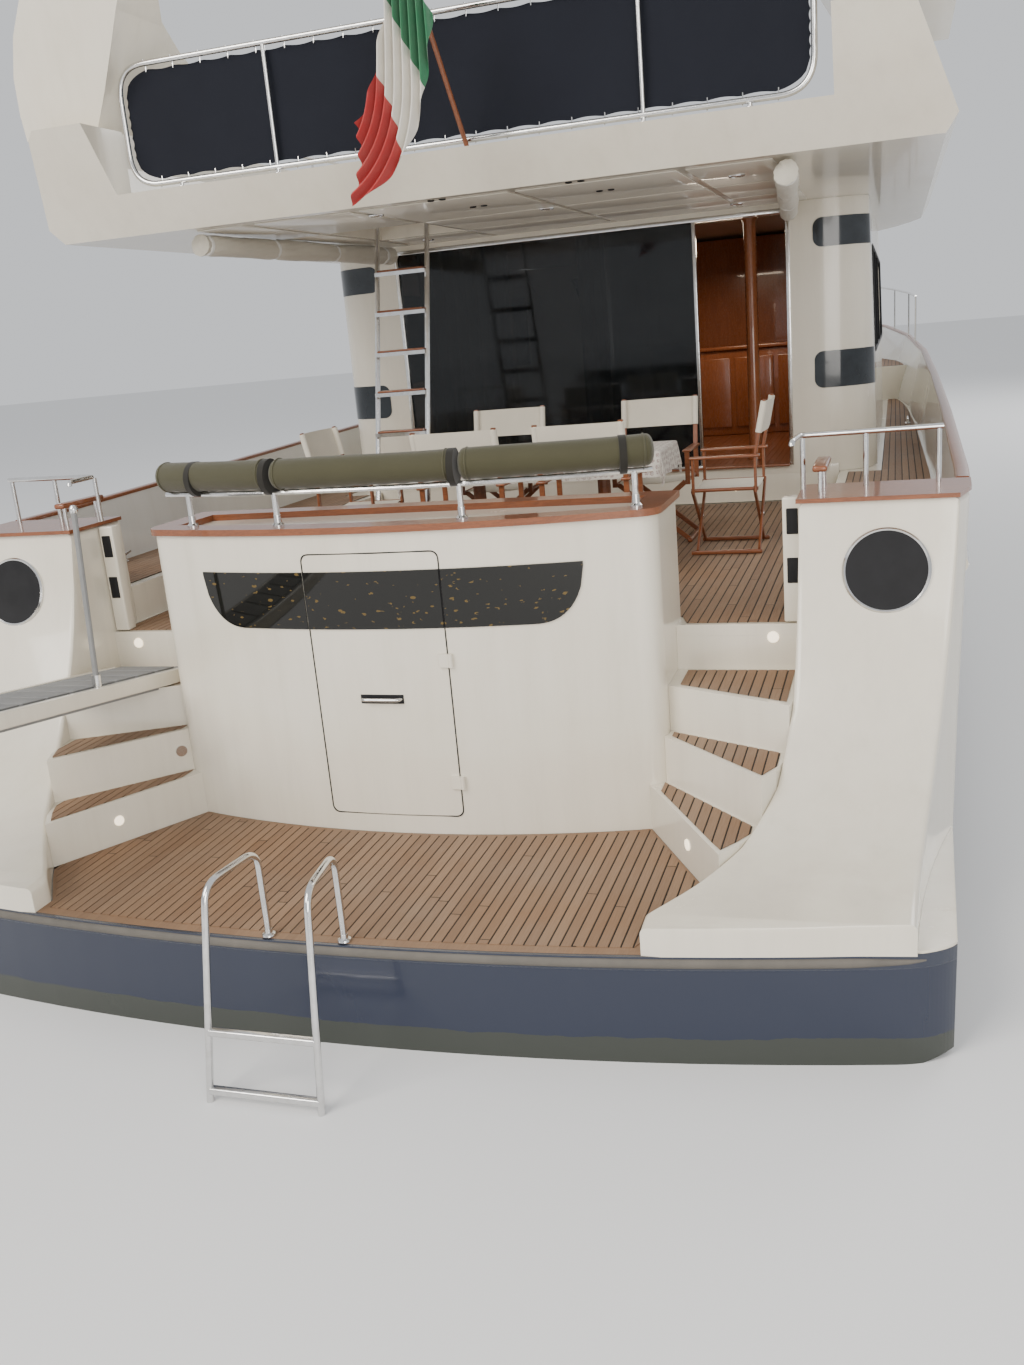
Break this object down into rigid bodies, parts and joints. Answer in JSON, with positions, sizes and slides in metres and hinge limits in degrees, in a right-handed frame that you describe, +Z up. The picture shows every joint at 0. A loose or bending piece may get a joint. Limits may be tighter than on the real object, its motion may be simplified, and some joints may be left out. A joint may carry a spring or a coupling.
{
  "type": "flybridge motor yacht",
  "caption": "Flybridge motor yacht with swim platform, curved stern stairs, teak cockpit, sliding saloon door, twin propellers and rudders.",
  "frame": {"origin": "on the centreline at the waterline, half way along the hull", "axes": "+X to starboard, +Y forward to the bow, +Z up"},
  "size_m": [5.8, 23.0276, 7.5552],
  "materials": {
    "topsides": "glossy white topsides over a dark blue boot top",
    "gelcoat": "glossy cream gelcoat",
    "teak": "laid teak planks with dark seams",
    "varnished_wood": "gloss varnish",
    "stainless": "polished stainless steel",
    "bolster_cloth": "dark olive padded cover",
    "windbreak_cloth": "dark laced cloth",
    "ensign_cloth": "green, white and red bunting",
    "canvas": "cream canvas",
    "cushion": "pale upholstery",
    "dark_glass": "tinted",
    "moulded_plastic": "white mouldings",
    "bronze": "cast bronze",
    "engine_paint": "satin grey enamel"
  },
  "bodies": {
    "boat": {"hull": "topsides", "swim_platform": "teak", "cockpit_sole": "teak", "saloon_sole": "teak", "quarter_starboard": "gelcoat", "quarter_port": "gelcoat", "transom_bulkhead": "gelcoat", "stairs_starboard": "gelcoat", "stairs_port": "gelcoat", "main_deck": "gelcoat", "saloon_house": "gelcoat", "flybridge": "gelcoat", "radar_arch": "gelcoat", "helm_console": "gelcoat", "stern_capping": "varnished_wood", "cockpit_table": "varnished_wood", "flagstaff": "varnished_wood", "stern_rail": "stainless", "fly_stern_frame": "stainless", "fly_ladder": "stainless", "bathing_ladder": "stainless", "guard_rail_starboard": "stainless", "guard_rail_port": "stainless", "windlass": "stainless", "anchor": "stainless", "bolster_port": "bolster_cloth", "bolster_centre": "bolster_cloth", "bolster_starboard": "bolster_cloth", "windbreak": "windbreak_cloth", "ensign": "ensign_cloth", "awning_roll": "canvas", "deck_chair_1": "canvas", "deck_chair_2": "canvas", "deck_chair_3": "canvas", "deck_chair_4": "canvas", "deck_chair_5": "canvas", "deck_chair_6": "canvas", "sunpad": "cushion", "helm_seat": "cushion", "fly_sofa": "cushion", "side_glass_starboard": "dark_glass", "side_glass_port": "dark_glass", "windscreen": "dark_glass", "aft_glass": "dark_glass", "fly_windscreen": "dark_glass", "shaft_strut_starboard": "bronze", "shaft_strut_port": "bronze", "engine_starboard": "engine_paint", "engine_port": "engine_paint"},
    "transom_door": {"transom_door": "gelcoat"},
    "saloon_door": {"saloon_door": "dark_glass"},
    "passerelle": {"passerelle": "teak"},
    "propeller_starboard": {"propeller_starboard": "bronze"},
    "propeller_port": {"propeller_port": "bronze"},
    "rudder_starboard": {"rudder_starboard": "bronze"},
    "rudder_port": {"rudder_port": "bronze"},
    "helm_wheel": {"helm_wheel": "stainless"},
    "radar_scanner": {"radar_scanner": "moulded_plastic"},
    "fly_hatch": {"fly_hatch": "moulded_plastic"},
    "foredeck_hatch": {"foredeck_hatch": "dark_glass"}
  },
  "joints": [
    {"name": "transom_door_hinge", "type": "hinge", "parent": "boat", "child": "transom_door", "pos_m": [0.358, -9.77882, 1.3], "axis": [0, 0, 1], "range_deg": [0, 105]},
    {"name": "saloon_door_slide", "type": "slide", "parent": "boat", "child": "saloon_door", "axis": [1, 0, 0], "range_m": [0, 0.75]},
    {"name": "passerelle_lift", "type": "hinge", "parent": "boat", "child": "passerelle", "pos_m": [-1.72, -9.3, 1.2613], "axis": [-1, 0, 0], "range_deg": [0, 65]},
    {"name": "propeller_starboard_turn", "type": "hinge", "parent": "boat", "child": "propeller_starboard", "pos_m": [0.75, -8.9, -1.13], "axis": [0, 0.9836, 0.1804], "continuous": true},
    {"name": "propeller_port_turn", "type": "hinge", "parent": "boat", "child": "propeller_port", "pos_m": [-0.75, -8.9, -1.13], "axis": [0, 0.9836, 0.1804], "continuous": true},
    {"name": "rudder_starboard_turn", "type": "hinge", "parent": "boat", "child": "rudder_starboard", "pos_m": [0.75, -9.68, -1], "axis": [0, 0, 1], "range_deg": [-35, 35]},
    {"name": "rudder_port_turn", "type": "hinge", "parent": "boat", "child": "rudder_port", "pos_m": [-0.75, -9.68, -1], "axis": [0, 0, 1], "range_deg": [-35, 35]},
    {"name": "helm_wheel_turn", "type": "hinge", "parent": "boat", "child": "helm_wheel", "pos_m": [0.9, -0.19669, 4.57068], "axis": [0, -0.9285, 0.3714], "range_deg": [-630, 630]},
    {"name": "radar_scanner_turn", "type": "hinge", "parent": "boat", "child": "radar_scanner", "pos_m": [0, -8.22, 5.96], "axis": [0, 0, 1], "continuous": true},
    {"name": "fly_hatch_hinge", "type": "hinge", "parent": "boat", "child": "fly_hatch", "pos_m": [-1.1, -5.625, 4.022], "axis": [-1, 0, 0], "range_deg": [0, 95]},
    {"name": "foredeck_hatch_hinge", "type": "hinge", "parent": "boat", "child": "foredeck_hatch", "pos_m": [0, 6.68, 2.501], "axis": [-1, 0, 0], "range_deg": [0, 80]}
  ],
  "couplings": [
    {"joint": "rudder_port_turn", "follows": "rudder_starboard_turn", "ratio": 1},
    {"joint": "helm_wheel_turn", "follows": "rudder_starboard_turn", "ratio": -18}
  ]
}
